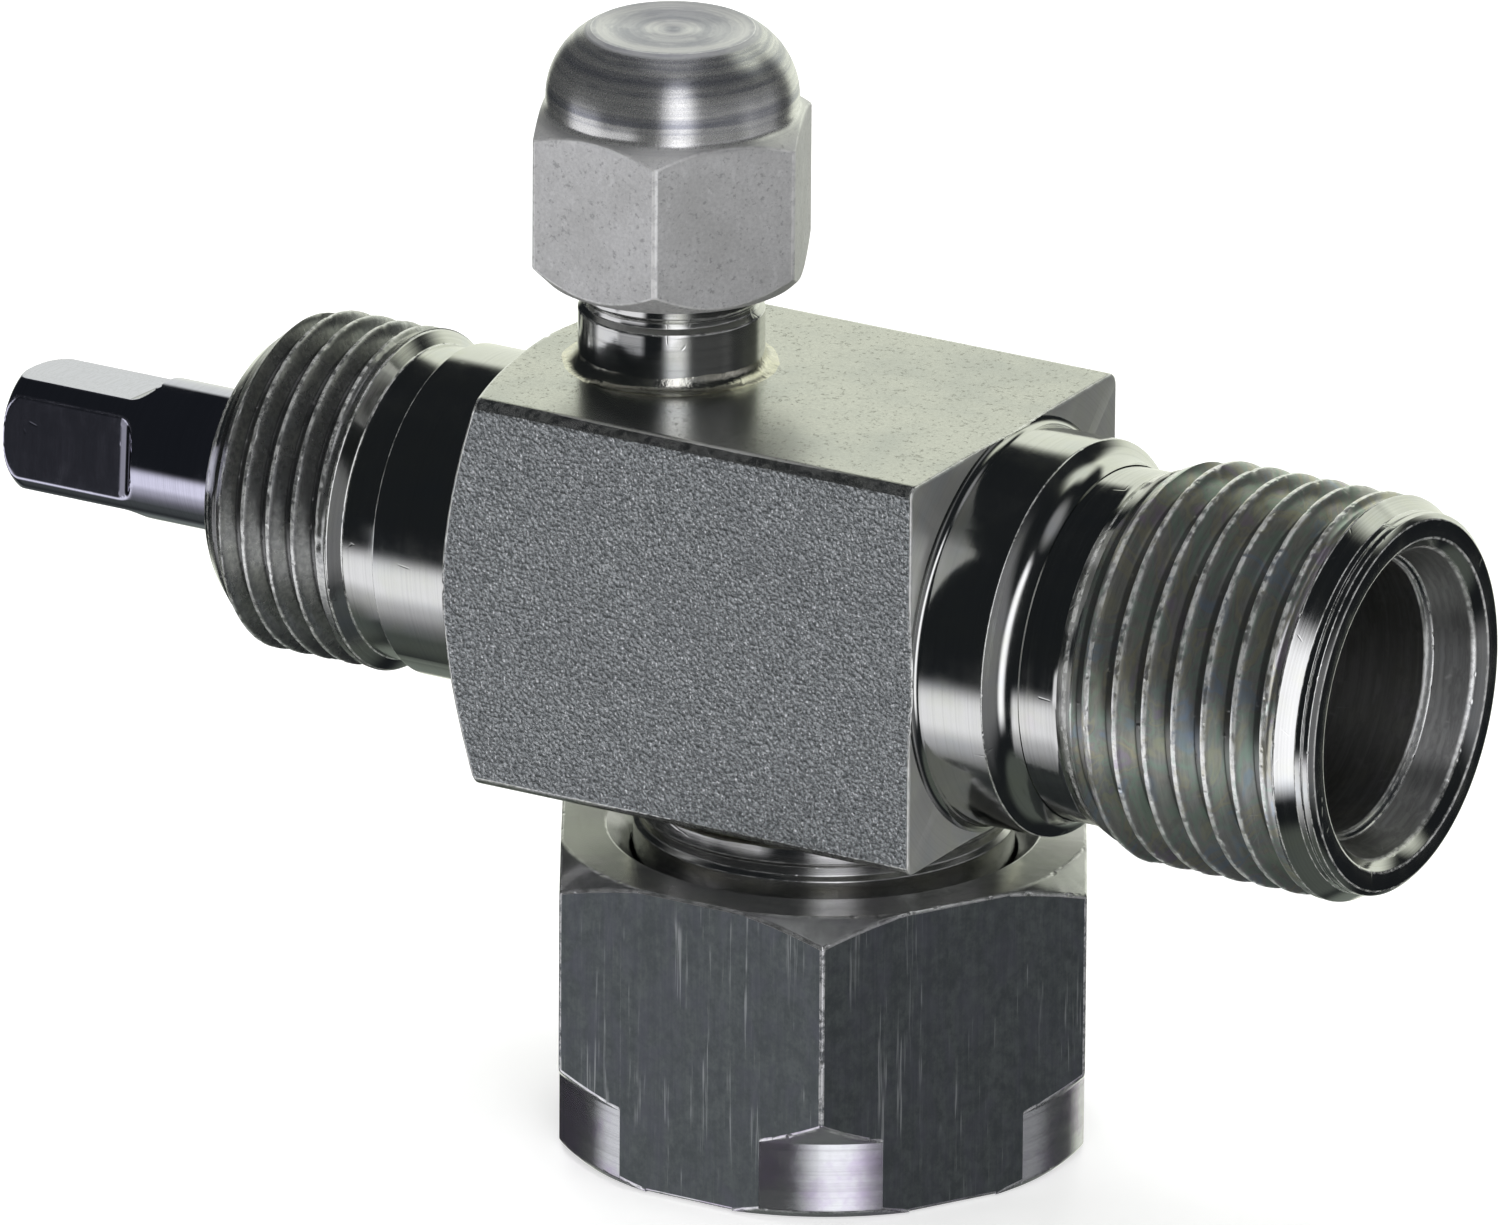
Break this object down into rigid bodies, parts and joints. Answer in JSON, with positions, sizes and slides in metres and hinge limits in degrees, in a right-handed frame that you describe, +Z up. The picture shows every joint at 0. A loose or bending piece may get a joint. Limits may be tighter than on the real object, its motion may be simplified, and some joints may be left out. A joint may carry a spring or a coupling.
{
  "type": "service valve",
  "caption": "Angle-pattern service valve: square stem in a threaded neck, capped flare port, threaded outlet and a swivel union nut under a square bar body.",
  "frame": {"origin": "centre of the union nut's bottom face, on the nut's axis", "axes": "+Z up the nut's axis, +X along the stem and out of the threaded outlet, -Y towards the side of the bar that faces the viewer"},
  "size_m": [0.0867, 0.0286, 0.0613],
  "materials": {
    "blasted_plate": "zinc-plated free-cutting steel, bead-blasted bar sides and turned ends",
    "turned_plate": "turned and bright zinc-plated, faint yellow-green and blue tints",
    "drawn_plate": "cold-drawn hexagon bar, zinc-plated, darker, with draw lines",
    "satin_plate": "satin flats and a polished dome",
    "stem_steel": "ground and polished stainless steel",
    "spring_steel": "plain",
    "braze": "plated braze fillet",
    "copper": "soft copper",
    "fluoroplastic": "white PTFE",
    "packing": "graphited packing"
  },
  "bodies": {
    "housing": {"valve_body": "blasted_plate", "outlet_connector": "turned_plate", "connector_gasket": "copper", "compressor_spud": "turned_plate", "spud_braze_ring": "braze", "spud_gasket": "fluoroplastic", "service_port_fitting": "turned_plate", "port_braze_ring": "braze", "packing_seat_washer": "spring_steel", "packing_ring_1": "packing", "packing_ring_2": "packing", "packing_ring_3": "packing", "packing_follower": "spring_steel", "packing_gland": "turned_plate"},
    "nut": {"union_nut": "drawn_plate"},
    "disc": {"seat_disc": "stem_steel", "disc_spring_washer": "spring_steel"},
    "stem": {"valve_stem": "stem_steel", "disc_retaining_ring": "spring_steel"},
    "cap_seal": {"port_cap_seal": "copper"},
    "cap": {"port_cap": "satin_plate"}
  },
  "joints": [
    {"name": "nut_swivel", "type": "hinge", "parent": "housing", "child": "nut", "pos_m": [0, 0, 0.0087], "axis": [0, 0, 1], "continuous": true},
    {"name": "disc_travel", "type": "slide", "parent": "housing", "child": "disc", "axis": [1, 0, 0], "range_m": [0, 0.006]},
    {"name": "stem_turn", "type": "hinge", "parent": "disc", "child": "stem", "pos_m": [-0.04, 0, 0.0311], "axis": [1, 0, 0], "range_deg": [0, 2042]},
    {"name": "cap_lift", "type": "slide", "parent": "housing", "child": "cap_seal", "axis": [0, 0, 1], "range_m": [0, 0.00762]},
    {"name": "cap_turn", "type": "hinge", "parent": "cap_seal", "child": "cap", "pos_m": [-0.0098, 0, 0.055], "axis": [0, 0, 1], "range_deg": [0, 2161]}
  ],
  "couplings": [
    {"joint": "stem_turn", "follows": "disc_travel", "rad_per_m": 5936.9},
    {"joint": "cap_turn", "follows": "cap_lift", "rad_per_m": 4947.4}
  ]
}
